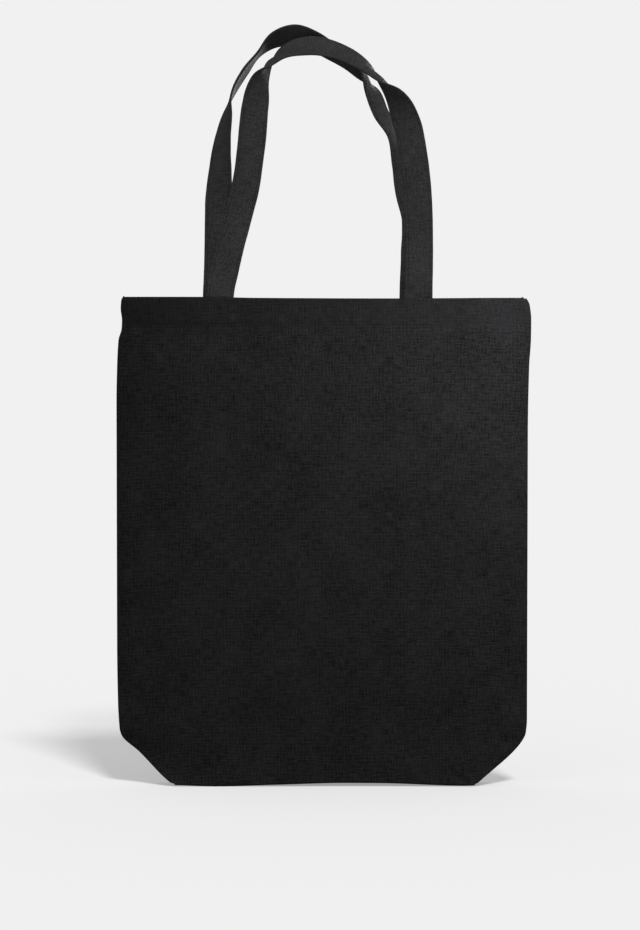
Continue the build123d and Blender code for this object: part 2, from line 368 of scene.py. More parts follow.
@dataclass(frozen=True)
class Canvas(Finish):
    """Plain-woven cotton canvas, piece-dyed black: matte, with slubs where yarn is thick, and painted shade
    in the hollows between its yarns.

    Such a canvas has yarns about 0.7 mm apart. They are drawn coarser, because at their own
    size they wouldn't show in the render.
    """

    yarn: float = 1.3  # mm from yarn to yarn
    wander: float = 0.9  # mm that yarns stray
    relief: float = 0.4  # mm of height in the weave
    slub: float = 0.95  # how much yarns differ in tone
    patches: float = 0.25  # how much areas of a few centimetres differ
    fuzz: float = 0.55  # how much single fibres differ
    pressed_from: float = 10_000  # mm up the cloth, past which it is pressed flatter
    pressed_contrast: float = 0.55
    pressed_over: float = 12.0  # mm in which the pressing comes in

    def pattern(self, tree: bpy.types.NodeTree) -> tuple[Node, Node, float]:
        """Lightness, height, and how many mm deep the height is."""
        cloth = add_node(tree, "ShaderNodeUVMap", uv_map="cloth")
        over, height = self.weave(tree, cloth)
        warp_slub = self.spots(tree, cloth, (self.yarn, 9), detail=1)
        weft_slub = self.spots(tree, cloth, (11, self.yarn), detail=1)
        slub = add_node(tree, "ShaderNodeMix", {0: over, 2: weft_slub, 3: warp_slub})
        patch = self.spots(tree, cloth, (38, 46), detail=3)
        fibre = self.spots(tree, cloth, (0.9, 0.9), detail=0)
        # Painted shade: lightness starts from the yarns' height, so the hollows between yarns are painted
        # darker; the slub, patch and fibre tones added next are the cloth's own.
        lightness = add_node(tree, MATH, {0: height, 1: 1.1, 2: -0.2}, operation="MULTIPLY_ADD")
        for source, amount in ((slub, self.slub), (patch, self.patches), (fibre, self.fuzz)):
            part = add_node(tree, MATH, {0: source, 1: 2 * amount, 2: -amount}, operation="MULTIPLY_ADD")
            lightness = add_node(tree, MATH, {0: lightness, 1: part}, operation="ADD")
        rise = add_node(tree, MATH, {0: slub, 1: 0.6, 2: height}, operation="MULTIPLY_ADD")
        return self.pressed(tree, cloth, lightness), rise, self.relief

    def weave(self, tree: bpy.types.NodeTree, cloth: Node) -> tuple[Node, Node]:
        """Yarns that cross over and under each other.

        Args:
            tree: The material's tree.
            cloth: Where a point is on the cloth.

        Returns:
            How far the warp lies over the weft, and the height of the yarn on top.
        """
        stray = self.spots(tree, cloth, (14, 14), detail=1).outputs["Color"]
        drift = add_node(tree, VECTOR, {0: stray, 1: (0.5, 0.5, 0.5)}, operation="SUBTRACT")
        shift = add_node(tree, VECTOR, {0: drift, "Scale": self.wander * MM}, operation="SCALE")
        bent = add_node(tree, VECTOR, {0: cloth, 1: shift}, operation="ADD")
        turns = add_node(tree, VECTOR, {0: bent, "Scale": math.pi / (self.yarn * MM)}, operation="SCALE")
        waves = add_node(tree, VECTOR, {0: turns}, operation="SINE")
        warp, weft = add_node(tree, "ShaderNodeSeparateXYZ", {0: waves}).outputs[:2]
        crossing = add_node(tree, MATH, {0: warp, 1: weft}, operation="MULTIPLY")
        over = add_node(
            tree,
            "ShaderNodeMapRange",
            {"Value": crossing, "From Min": -0.2, "From Max": 0.2},
            interpolation_type="SMOOTHSTEP",
        )
        rounded, tops = [], []
        for yarn in (warp, weft):
            size = add_node(tree, MATH, {0: yarn}, operation="ABSOLUTE")
            rounded.append(add_node(tree, MATH, {0: size, 1: 0.6}, operation="POWER"))
        for own, other in (rounded, rounded[::-1]):
            held = add_node(tree, MATH, {0: other, 1: 0.5, 2: 0.5}, operation="MULTIPLY_ADD")
            tops.append(add_node(tree, MATH, {0: own, 1: held}, operation="MULTIPLY"))
        return over, add_node(tree, "ShaderNodeMix", {0: over, 2: tops[1], 3: tops[0]})

    def pressed(self, tree: bpy.types.NodeTree, cloth: Node, lightness: Node) -> Node:
        """Lightness with less contrast where the cloth is pressed."""
        up = add_node(tree, "ShaderNodeSeparateXYZ", {0: cloth}).outputs[1]
        start, end = (self.pressed_from - self.pressed_over) * MM, self.pressed_from * MM
        limits = {"From Min": start, "From Max": end, "To Min": 1.0, "To Max": self.pressed_contrast}
        contrast = add_node(tree, "ShaderNodeMapRange", {"Value": up, **limits})
        even = add_node(tree, MATH, {0: lightness, 1: -0.5}, operation="ADD")
        return add_node(tree, MATH, {0: even, 1: contrast, 2: 0.5}, operation="MULTIPLY_ADD")

    @staticmethod
    def spots(tree: bpy.types.NodeTree, cloth: Node, size: tuple[float, float], detail: float) -> Node:
        """A pattern of spots that are size mm across and up on the cloth."""
        share = (1 / (size[0] * MM), 1 / (size[1] * MM), 1)
        scaled = add_node(tree, VECTOR, {0: cloth, 1: share}, operation="MULTIPLY")
        noise = {"Vector": scaled, "Scale": 1.0, "Detail": detail}
        return add_node(tree, "ShaderNodeTexNoise", noise, noise_dimensions="2D")


@dataclass(frozen=True)
class Thread(Finish):
    """Spun polyester sewing thread: a little glossier than the cotton, twisted, with painted shade in the
    grooves of its twist.
    """

    twist: float = 0.5  # mm from turn to turn
    relief: float = 0.08  # mm

    def pattern(self, tree: bpy.types.NodeTree) -> tuple[Node, Node, float]:
        """Lightness, height, and how many mm deep the height is."""
        place = add_node(tree, "ShaderNodeTexCoord").outputs["Object"]
        noise = {"Vector": place, "Scale": 1 / (self.twist * MM), "Detail": 1.0}
        twist = add_node(tree, "ShaderNodeTexNoise", noise)
        # Painted shade: the twist's height is also its lightness, so its grooves are painted darker.
        return twist, twist, self.relief


# The first colour of each finish is its darker tone together with the painted shade of its hollows; the
# second is on its crowns.
PANEL_CANVAS = Canvas("black canvas, woven", "010101", "151516", pressed_from=468)
HEM_CANVAS = Canvas("black canvas, turned", "020202", "171718")
STRAP_CANVAS = Canvas("black strap canvas, folded", "0b0b0b", "29292a", yarn=1.1, slub=0.7, relief=0.3)
EDGE_CANVAS = Canvas("black canvas, overlocked edge", "070707", "181819", yarn=1.1)
SEWING_THREAD = Thread("black sewing thread, spun", "060606", "0d0d0e", 0.6, 0.12, 1.5, 0.5)


# --- Stitching --------------------------------------------------------------------------


@dataclass
class StitchRow:
    """One row of stitches along a path, laid by Geometry Nodes. Sizes are in mm."""

    path: Array
    out: Array  # the direction away from the cloth at each point of the path
    pitch: float = 3.2
    length: float = 2.7
    width: float = 0.65
    proud: float = 0.42
    slant: float = 6.0  # degrees


class Sewing:
    """Lays rows of stitches and joins them into one plain mesh for each piece."""

    def __init__(self) -> None:
        """Build the node tree that every row uses."""
        self.tree = self.build_tree()

    @staticmethod
    def build_tree() -> bpy.types.NodeTree:
        """Build a tree that puts a thread loop at even distances along a path.

        Returns:
            A tree with inputs Pitch, Length, Width, Height, Slant and Thread.
        """
        tree = bpy.data.node_groups.new("stitch row", "GeometryNodeTree")
        face = tree.interface
        face.new_socket("Path", in_out="INPUT", socket_type="NodeSocketGeometry")
        for name in ("Pitch", "Length", "Width", "Height", "Slant"):
            face.new_socket(name, in_out="INPUT", socket_type="NodeSocketFloat")
        face.new_socket("Thread", in_out="INPUT", socket_type="NodeSocketMaterial")
        face.new_socket("Stitches", in_out="OUTPUT", socket_type="NodeSocketGeometry")
        given = add_node(tree, "NodeGroupInput").outputs
        curve = add_node(tree, "GeometryNodeMeshToCurve", {"Mesh": given["Path"]})
        even = add_node(tree, "GeometryNodeResampleCurve", {"Curve": curve})
        if hasattr(even, "mode"):
            even.mode = "LENGTH"
        tree.links.new(given["Pitch"], even.inputs["Length"])
        out = add_node(tree, "GeometryNodeInputNamedAttribute", {"Name": "out"}, data_type="FLOAT_VECTOR")
        along = add_node(tree, "GeometryNodeInputTangent")
        upright = add_node(tree, "FunctionNodeAlignRotationToVector", {"Vector": out}, axis="Z")
        lined_up = add_node(
            tree,
            "FunctionNodeAlignRotationToVector",
            {"Rotation": upright, "Vector": along},
            axis="X",
            pivot_axis="Z",
        )
        turn = add_node(tree, "ShaderNodeCombineXYZ", {"Z": given["Slant"]})
        slanted = add_node(
            tree,
            "FunctionNodeRotateRotation",
            {"Rotation": lined_up, "Rotate By": turn},
            rotation_space="LOCAL",
        )
        loop = add_node(tree, "GeometryNodeMeshUVSphere", {"Segments": 8, "Rings": 5, "Radius": 0.5})
        size = add_node(
            tree, "ShaderNodeCombineXYZ", {"X": given["Length"], "Y": given["Width"], "Z": given["Height"]}
        )
        shaped = add_node(tree, "GeometryNodeTransform", {"Geometry": loop, "Scale": size})
        placed = add_node(
            tree,
            "GeometryNodeInstanceOnPoints",
            {"Points": even, "Instance": shaped, "Rotation": slanted},
        )
        real = add_node(tree, "GeometryNodeRealizeInstances", {"Geometry": placed})
        smooth = add_node(tree, "GeometryNodeSetShadeSmooth", {"Geometry": real})
        threaded = add_node(
            tree, "GeometryNodeSetMaterial", {"Geometry": smooth, "Material": given["Thread"]}
        )
        add_node(tree, "NodeGroupOutput", {0: threaded})
        return tree

    def sew(self, name: str, rows: list[StitchRow]) -> bpy.types.Object:
        """Lay rows of stitches as one piece.

        Args:
            name: The piece's name.
            rows: The rows.

        Returns:
            One plain mesh that holds every stitch.
        """
        laid = [self.lay(f"{name}_{number}", row) for number, row in enumerate(rows)]
        points, faces, offset = [], [], 0
        for part in laid:
            mesh = part.data
            place = np.zeros(len(mesh.vertices) * 3)
            mesh.vertices.foreach_get("co", place)
            points.append(place.reshape(-1, 3) / MM)
            faces += [tuple(i + offset for i in face.vertices) for face in mesh.polygons]
            offset += len(mesh.vertices)
            bpy.data.objects.remove(part)
        piece = new_piece(name, np.concatenate(points), faces)
        piece.data.materials.append(SEWING_THREAD.material())
        return piece

    def lay(self, name: str, row: StitchRow) -> bpy.types.Object:
        """Lay one row with the node tree, and return it as a plain mesh."""
        mesh = bpy.data.meshes.new(name)
        count = len(row.path)
        mesh.from_pydata((row.path * MM).tolist(), [(i, i + 1) for i in range(count - 1)], [])
        out = mesh.attributes.new("out", "FLOAT_VECTOR", "POINT")
        out.data.foreach_set("vector", np.asarray(row.out, np.float32).ravel())
        piece = bpy.data.objects.new(name, mesh)
        bpy.context.scene.collection.objects.link(piece)
        modifier = piece.modifiers.new("stitches", "NODES")
        modifier.node_group = self.tree
        values = {
            "Pitch": row.pitch * MM,
            "Length": row.length * MM,
            "Width": row.width * MM,
            "Height": 2 * row.proud * MM,
            "Slant": math.radians(row.slant),
            "Thread": SEWING_THREAD.material(),
        }
        for item in self.tree.interface.items_tree:
            if item.in_out == "INPUT" and item.name in values:
                modifier[item.identifier] = values[item.name]
        return apply_modifiers(piece)


# --- The bag's shape --------------------------------------------------------------------


@dataclass
class BagShape:
    """Outline, depth and relief of the bag's walls, in mm."""

    height: float = field(default_factory=lambda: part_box("front_panel")[1][2] / MM)
    ridge: float = field(default_factory=lambda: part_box("rear_panel")[0][2] / MM + 43.1)
    stance: float = 16.0  # from the middle to a bottom fold
    foot: float = 2.5  # width of a bottom fold
    fold_top: float = 2.2  # where a bottom fold's rounding ends
    hem: float = 27.0
    flat_share: float = 0.58  # of the half width, before a wall curves to its seam
    bow: float = 2.2  # how late a wall curves to its seam
    edge_round: float = 1.8
    seam_roll: float = 0.5  # how far a side seam rolls in

    @property
    def hem_line(self) -> float:
        """Height of the hem's lower edge."""
        return self.height - self.hem

    def left(self, z: Array) -> Array:
        """X of the left edge at each height, drawn in at the hem."""
        top = self.height
        return through(
            z,
            [
                (0, -137), (3, -141.5), (31, -170), (45, -186), (52, -188.5), (80, -190),
                (130, -190.6), (354, -190.5), (388, -189.8), (411, -188.5), (421, -185.6),
                (429, -185.2), (439, -186.4), (top - 3, -185.8), (top - 0.8, -184.8), (top, -183.6),
            ],
        )  # fmt: skip

    def right(self, z: Array) -> Array:
        """X of the right edge at each height."""
        top = self.height
        return through(
            z,
            [
                (0, 141), (3, 144.5), (42, 186), (49, 189), (60, 190), (325, 190),
                (387, 191), (412, 192.6), (430, 192.8), (443, 191.4), (top - 3, 190),
                (top - 1, 187.8), (top, 184.5),
            ],
        )  # fmt: skip

    def rim(self, x: Array, z: Array) -> Array:
        """How far the hem's top edge is off its plain height, which it fades up to."""
        along = through(x, [(-186, 1.3), (-110, 1.2), (-60, 0.3), (60, -0.2), (185, 0.4)])
        return along * ease((z - 380) / 70)

    def depth(self, z: Array) -> Array:
        """Y of the middle of a wall at each height."""
        return through(z, [(0, 16), (43, 17.2), (130, 20.3), (340, 20.5), (423, 19.5), (450, 19.5)])

    def lift(self, x: Array) -> Array:
        """How far the bottom fold is off the floor along its length."""
        return through(x, [(-140, 1.2), (-100, 0), (-40, 1.6), (20, 3.2), (55, 3.0), (131, 0.6), (145, 1.0)])

    def wall(self, x: Array, z: Array) -> Array:
        """Distance of a wall's outer face from the middle plane, without rounding at edges."""
        left, right = self.left(z), self.right(z)
        middle, half = (left + right) / 2, (right - left) / 2
        share = np.abs(x - middle) / half
        past = np.clip((share - self.flat_share) / (1 - self.flat_share), 0, 1)
        edge = self.stance * np.clip(1 - z / self.ridge, 0, 1)
        depth = self.depth(z)
        return edge + (depth - edge) * (1 - past**self.bow)

    def relief(self, x: Array, z: Array, side: Side) -> Array:
        """How far the cloth stands proud of the plain wall, from its folds and sewing."""
        seed = 10 if side is Side.FRONT else 40
        low = ease(z / 40)
        soft = 0.9 * ripple(x, z, 95, 150, seed) + 0.55 * ripple(x, z, 38, 90, seed + 1)
        small = 0.16 * ripple(x, z, 15, 18, seed + 2) + 0.07 * ripple(x, z, 6, 7, seed + 3)
        sides = 0.9 * ripple(x, z, 60, 26, seed + 4) * ease((np.abs(x) - 130) / 50) * ease((400 - z) / 60)
        corner = 0.0
        for sign in (-1, 1):
            corner = corner + 0.9 * crease(x, z, (sign * 183, 50), (sign * 120, 150), 9)
            corner = corner - 0.7 * crease(x, z, (sign * 176, 58), (sign * 150, 190), 8)
            corner = corner + 0.6 * crease(x, z, (sign * 140, 4), (sign * 70, 60), 8)
        return (soft + sides + corner) * low + small + self.hem_relief(x, z, side)

    def hem_relief(self, x: Array, z: Array, side: Side) -> Array:
        """Relief of the hem: its turned layers, the pull of its stitches, the strap ends."""
        seed = 20 if side is Side.FRONT else 50
        above = z - self.hem_line + 1.2 * ripple(x, np.zeros_like(x), 60, 60, seed + 5)
        pulls = [(-175, 0.9), (-120, 1.3), (-75, 1.0), (-40, 0.35), (60, 0.2), (110, 0.5), (190, 0.9)]
        layers = 0.6 * ease((above - 1) / 4) * ease((120 - x) / 80)
        layers = layers + 0.9 * np.exp(-(((above + 0.6) / 1.8) ** 2)) * ease((x - 95) / 60)
        row = np.exp(-(((above - 1.3) / 1.2) ** 2))
        pull = -0.8 * row * through(x, pulls) * (1 + 0.3 * np.sin(2 * math.pi * x / 3.2))
        near = np.exp(-(((above - 1) / 11) ** 2))
        pucker = 0.42 * near * ripple(x, z, 9, 24, seed) + 0.3 * near * ripple(x, z, 21, 30, seed + 1)
        straps = 0.0
        for middle in handle_middles(side):
            inside = ease((13.6 - np.abs(x - middle)) / 1.8) * ease((above - 2.2) / 2)
            straps = straps + 0.6 * inside
        if side is Side.REAR:
            return layers + pull + pucker + straps
        dimple = -2.8 * bump(x, z, (-167, 407), (6, 8)) + 1.1 * bump(x, z, (-176, 416), (7, 5))
        dimple = dimple + 1.3 * crease(x, z, (-184, 424), (-140, 380), 5)
        dimple = dimple - 0.4 * crease(x, z, (-176, 408), (-160, 376), 6)
        dimple = dimple + 1.1 * crease(x, z, (184, 424), (150, 372), 6)
        return layers + pull + pucker + straps + dimple

    def surface(self, x: Array, z: Array, side: Side, inset: float = 0.0) -> Array:
        """Points on a wall, inset mm inside its outer face.

        Args:
            x: Positions across.
            z: Heights.
            side: Which wall.
            inset: How far inside.

        Returns:
            One row of x, y, z for each position.
        """
        from_edge = np.minimum(x - self.left(z), self.right(z) - x)
        settle = ease(from_edge / 9)
        y = self.wall(x, z) + self.relief(x, z, side) * settle - inset
        return np.stack([x, side.value * np.maximum(y, 0.05), z + self.rim(x, z)], axis=-1)


def handle_middles(side: Side) -> list[float]:
    """X of the middles of a handle's two sewn ends, in mm, from the frame."""
    found = []
    for leg in ("left", "right"):
        low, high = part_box(f"{side.word}_handle_{leg}_end")
        found.append((low[0] + high[0]) / 2 / MM)
    return found


# --- Cloth pieces -----------------------------------------------------------------------


@dataclass
class BagCloth:
    """The sewn bag without its handles: panels, hems, seams and their stitching."""

    shape: BagShape
    sewing: Sewing
    cloth: float = 0.8  # mm thick
    step: float = 2.6  # mm between points
    blend_y: float = 14.0  # the cloth gives way between this far behind and in front
    outer_row: float = -0.05  # how far inside the wall's outer face a row of stitches lies
    inner_row: float = 3.75  # the same for the row inside the mouth
    allowance: float = 9.0  # width of the sewn edges inside the bag
    corner_allowance: float = 7.0
    edge_thickness: float = 1.1

    def hold(self, piece: bpy.types.Object) -> bpy.types.Object:
        """Bake a piece's placement into its mesh."""
        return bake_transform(piece)

    def build(self) -> list[bpy.types.Object]:
        """Build and return every piece of the bag."""
        pieces = []
        for side in Side:
            pieces += [self.panel(side), self.hem(side), self.hem_stitching(side)]
            pieces += self.box_stitching(side) + self.corner_seams(side)
        return pieces + self.side_seams() + self.bottom_seam()

    def columns(self, left: float, right: float) -> Array:
        """X of the grid's columns on one row, closer together at both edges."""
        edge = np.array([0, 0.35, 0.9, 1.8, 3.2])
        count = round((2 * 190 - 2 * edge[-1]) / self.step)
        middle = np.linspace(left + edge[-1], right - edge[-1], count)
        return np.concatenate([left + edge[:-1], middle, right - edge[:-1][::-1]])

    def panel(self, side: Side) -> bpy.types.Object:
        """One cloth: half of the tucked base, the bottom fold and the wall."""
        shape = self.shape
        heights = np.linspace(shape.fold_top, shape.ridge, round((shape.ridge - shape.fold_top) / self.step))
        turn = shape.height - 2.4
        above = np.linspace(shape.ridge, turn, round((turn - shape.ridge) / self.step))
        fold = ((0.0, 1.0), (0.18, 0.35), (0.5, 0.0), (0.82, 0.35), (1.0, 1.0))
        lip = ((1.2, 0.05), (0.5, 0.3), (0.1, 0.8), (0.0, 1.4), (0.4, 2.0))
        rows = [self.base_row(z, side) for z in heights[::-1]]
        rows += [self.fold_row(across, rise, side) for across, rise in fold]
        rows += [self.wall_row(z, side) for z in (*heights[:-1], *above)]
        rows += [self.wall_row(shape.height - drop, side, inset) for drop, inset in lip]
        points = np.array(rows)
        steps = np.linalg.norm(np.diff(points[:, points.shape[1] // 2], axis=0), axis=1)
        along = np.concatenate([[0], np.cumsum(steps)])[:, None]
        uv = np.stack(np.broadcast_arrays(points[:, :, 0], along), axis=-1) * MM
        faces = grid_faces(*points.shape[:2], flip=side is Side.REAR)
        piece = new_piece(f"{side.word}_panel_cloth", points.reshape(-1, 3), faces, uv.reshape(-1, 2))
        weld = piece.modifiers.new("weld", "WELD")
        weld.merge_threshold = 0.02 * MM
        thick = piece.modifiers.new("cloth", "SOLIDIFY")
        thick.thickness = self.cloth * MM
        thick.offset = -1
        apply_modifiers(piece)
        piece.data.materials.append(PANEL_CANVAS.material())
        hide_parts(f"{side.word}_panel")
        self.hold(piece)
        return piece

    def base_row(self, z: float, side: Side) -> Array:
        """A row of the tucked base, which rises from the fold to the bottom seam."""
        shape = self.shape
        x = self.columns(float(shape.left(z)), float(shape.right(z)))
        fall = 1 - z / shape.ridge
        inner = (shape.stance - shape.foot) * fall
        meet = (shape.stance - shape.foot / 2) * fall
        y = meet + (inner - meet) * self.rounding(x)
        y = y - 0.5 * np.abs(ripple(x, np.full_like(x, z), 40, 18, 60 + side.value)) * fall * self.rounding(x)
        return np.stack([x, side.value * np.maximum(y, 0.04), z + shape.lift(x) * fall], axis=-1)

    def fold_row(self, across: float, rise: float, side: Side) -> Array:
        """A row of the rounded bottom fold, from the base (0) to the wall (1)."""
        shape = self.shape
        meeting = shape.fold_top * 0.6
        x = self.columns(float(shape.left(0)), float(shape.right(0)))
        meet = shape.stance - shape.foot / 2
        target = shape.stance - shape.foot * (1 - across)
        y = meet + (target - meet) * self.rounding(x)
        height = meeting + meeting * (rise - 1) * self.rounding(x)
        return np.stack([x, side.value * y, height + shape.lift(x)], axis=-1)

    def wall_row(self, z: float, side: Side, inset: float = 0.0) -> Array:
        """A row of the wall, which meets the base or the other wall at its two ends."""
        shape = self.shape
        left, right = float(shape.left(z)), float(shape.right(z))
        x = self.columns(left, right)
        heights = np.full_like(x, z)
        row = shape.surface(x, heights, side, inset)
        fall = max(0.0, 1 - z / shape.ridge)
        rounding = self.rounding(x)
        meet = (shape.stance - shape.foot / 2) * fall
        y = np.abs(row[:, 1])
        row[:, 1] = side.value * (meet + (y - meet) * rounding)
        roll = shape.seam_roll * float(ease((z - shape.ridge) / 8)) * (1 - rounding)
        row[:, 0] = x + roll * np.where(x < (left + right) / 2, 1, -1)
        row[:, 2] += shape.lift(x) * fall
        return row

    def rounding(self, x: Array) -> Array:
        """0 at a row's two ends, and 1 from the edge rounding inwards."""
        from_edge = np.minimum(x - x[0], x[-1] - x)
        near = np.clip(from_edge / self.shape.edge_round, 0, 1)
        return np.sqrt(1 - (1 - near) ** 2)

    def hem(self, side: Side) -> bpy.types.Object:
        """The turned layers of the hem, inside the mouth."""
        shape = self.shape
        low, top = shape.hem_line, shape.height
        section = [  # inset, height
            (1.0, low + 1.0), (1.0, low + 9), (1.0, low + 18), (1.1, top - 1.6), (1.6, top - 0.7),
            (2.4, top - 0.35), (3.2, top - 0.7), (3.6, top - 1.8), (3.65, low + 21), (3.7, low + 16),
            (3.65, low + 11), (3.6, low + 6), (3.45, low + 2.6), (3.2, low + 1.4), (3.5, low + 0.6),
            (3.2, low - 0.1), (2.2, low - 0.2), (1.3, low + 0.2),
        ]  # fmt: skip
        left, right = float(shape.left(low)) + 4.5, float(shape.right(low)) - 4.5
        xs = np.linspace(left, right, round((right - left) / self.step))
        rings, uv = [], []
        for x in xs:
            ring = []
            for inset, z in section:
                point = shape.surface(np.array([x]), np.array([z]), side, inset)[0]
                wave = 0.25 * float(ripple(np.array([x]), np.array([z]), 12, 14, 70 + side.value)[0])
                reach = abs(point[1]) - (wave if inset > 3 else 0)
                ring.append((x, side.value * max(reach, 0.12 + 0.05 * inset), z))
            rings.append(ring)
            uv.append([(x * MM, z * MM + inset * MM) for inset, z in section])
        piece = tube(f"{side.word}_hem_turning", np.array(rings), np.array(uv))
        piece.data.materials.append(HEM_CANVAS.material())
        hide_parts(f"{side.word}_hem")
        return self.hold(piece)

    def row_on_wall(self, x: Array, z: Array, side: Side, facing: int) -> StitchRow:
        """A row of stitches on a wall, outside (facing 1) or inside the mouth (facing -1)."""
        inset = self.outer_row if facing > 0 else self.inner_row
        path = self.shape.surface(x, z, side, inset)
        out = np.tile([0.0, float(side.value * facing), 0.0], (len(x), 1))
        return StitchRow(path, out)

    def hem_stitching(self, side: Side) -> bpy.types.Object:
        """The row that holds the hem, on both faces."""
        shape = self.shape
        z = shape.hem_line + 1.3
        x = np.arange(float(shape.left(z)) + 3, float(shape.right(z)) - 3, 1.0)
        heights = z + 0.25 * ripple(x, np.zeros_like(x), 30, 30, 80 + side.value)
        rows = [
            self.row_on_wall(x, heights, side, 1),
            self.row_on_wall(x[6:-6], heights[6:-6], side, -1),
        ]
        piece = self.sewing.sew(f"{side.word}_hem_row", rows)
        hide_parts(f"{side.word}_hem_stitching")
        return self.hold(piece)

    def box_stitching(self, side: Side) -> list[bpy.types.Object]:
        """A sewn rectangle over each strap end, on both faces."""
        pieces = []
        for leg, middle in zip(("left", "right"), handle_middles(side)):
            node = f"{side.word}_{leg}_box_stitch"
            low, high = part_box(node)
            wide, bottom, top = (high[0] - low[0]) / MM, low[2] / MM, high[2] / MM
            corners = [
                (middle - wide / 2, bottom), (middle + wide / 2, bottom), (middle + wide / 2, top),
                (middle - wide / 2, top), (middle - wide / 2, bottom),
            ]  # fmt: skip
            rows = []
            for (x0, z0), (x1, z1) in zip(corners, corners[1:]):
                share = np.linspace(0, 1, 25)
                x, z = x0 + (x1 - x0) * share, z0 + (z1 - z0) * share
                rows += [self.row_on_wall(x, z, side, facing) for facing in (1, -1)]
            piece = self.sewing.sew(f"{node}_thread", rows)
            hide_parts(node)
            pieces.append(self.hold(piece))
        return pieces

    def band(self, name: str, path: Array, across: Array, out: Array, wide: float) -> bpy.types.Object:
        """A sewn edge: a flat band with rounded edges along a path.

        Args:
            name: The piece's name.
            path: Middle of the band, in mm.
            across: Direction of its width.
            out: Direction of its thickness.
            wide: Width.

        Returns:
            The piece.
        """
        section = [
            (-0.5, 0.15), (-0.47, 0.42), (-0.3, 0.5), (0, 0.46), (0.3, 0.5), (0.47, 0.42),
            (0.5, 0.15), (0.5, -0.15), (0.47, -0.42), (0.3, -0.5), (0, -0.5), (-0.3, -0.5),
            (-0.47, -0.42), (-0.5, -0.15),
        ]  # fmt: skip
        thick = self.edge_thickness
        rings, uv = [], []
        length = 0.0
        for number, point in enumerate(path):
            if number:
                length += float(np.linalg.norm(point - path[number - 1]))
            wave = 0.3 * math.sin(length / 5.3) + 0.2 * math.sin(length / 2.9)
            reach = [(a * wide + 0.4 * wave * abs(a), b * thick) for a, b in section]
            rings.append([point + across * a + out * b for a, b in reach])
            uv.append([(a * wide * MM, length * MM) for a, b in section])
        piece = tube(name, np.array(rings), np.array(uv))
        piece.data.materials.append(EDGE_CANVAS.material())
        return piece

    def overlock(self, name: str, path: Array, across: Array, out: Array) -> bpy.types.Object:
        """Thread wrapped round a band's free edge, as slanted loops on both of its faces."""
        rows = []
        for facing in (-1, 1):
            inner = path - across * 1.6 + out * facing * self.edge_thickness / 2
            normals = np.tile(out * facing, (len(path), 1))
            rows.append(StitchRow(inner, normals, pitch=1.9, length=3.4, width=0.5, slant=62 * facing))
        edge_normals = np.tile(across, (len(path), 1))
        rows.append(StitchRow(path, edge_normals, pitch=1.9, length=1.9, width=0.7, slant=0))
        return self.sewing.sew(name, rows)

    def side_seams(self) -> list[bpy.types.Object]:
        """The sewn allowance inside each side seam, pressed to the rear."""
        shape, pieces = self.shape, []
        heights = np.arange(shape.ridge + 5, shape.hem_line - 0.5, 3.0)
        for word, sign in (("left", 1), ("right", -1)):
            edge = shape.left(heights) if word == "left" else shape.right(heights)
            middle = edge + sign * (3.6 + self.allowance / 2)
            path = np.stack([middle, np.full_like(heights, 0.75), heights], axis=-1)
            across, out = np.array([float(sign), 0, 0]), np.array([0.0, 1, 0])
            piece = self.band(f"{word}_seam_allowance", path, across, out, self.allowance)
            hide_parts(f"{word}_side_seam")
            rim = path + across * self.allowance / 2
            thread = self.overlock(f"{word}_seam_overlock", rim, across, out)
            pieces += [self.hold(piece), self.hold(thread)]
        return pieces

    def base_frame(self, side: Side) -> tuple[Array, Array]:
        """Direction up the tucked base towards its ridge, and its normal into the bag."""
        shape = self.shape
        run, rise = shape.stance - shape.foot, shape.ridge
        length = math.hypot(run, rise)
        up = np.array([0.0, -side.value * run / length, rise / length])
        normal = np.array([0.0, side.value * rise / length, run / length])
        return up, normal

    def bottom_seam(self) -> list[bpy.types.Object]:
        """The sewn allowance of the bottom seam, pressed to the rear."""
        low, high = (np.array(corner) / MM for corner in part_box("bottom_seam"))
        up, normal = self.base_frame(Side.REAR)
        x = np.arange(low[0] + 2, high[0] - 2, 3.0)
        middle = (low + high) / 2
        path = np.stack([x, np.full_like(x, middle[1]), np.full_like(x, middle[2])], axis=-1)
        piece = self.band("bottom_seam_allowance", path, -up, normal, self.allowance)
        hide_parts("bottom_seam")
        rim = path - up * self.allowance / 2
        thread = self.overlock("bottom_seam_overlock", rim, -up, normal)
        return [self.hold(piece), self.hold(thread)]

    def corner_seams(self, side: Side) -> list[bpy.types.Object]:
        """The allowances of the two seams that box the base."""
        up, normal = self.base_frame(side)
        pieces = []
        for word in ("left", "right"):
            node = f"{side.word}_{word}_corner_seam"
            low, high = (np.array(corner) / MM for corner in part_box(node))
            middle, reach = (low + high) / 2, np.linalg.norm((high - low)[1:]) / 2
            steps = np.linspace(-reach, reach, 12)
            path = middle + steps[:, None] * up
            across = np.array([1.0 if word == "left" else -1.0, 0, 0])
            piece = self.band(f"{node}_allowance", path, across, normal, self.corner_allowance)
            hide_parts(node)
            pieces.append(self.hold(piece))
        return pieces


# --- Handles ----------------------------------------------------------------------------


@dataclass(frozen=True)
class Lie:
    """How a strap lies at one place along it."""

    across: float  # mm from the bag's middle to the strap's middle line
    up: float  # mm above the hem
    turned: float = 0.0  # degrees round its own length: 0 shows its full width, -90 its edge
    folded: float = 0.0  # degrees by which its halves bend towards each other


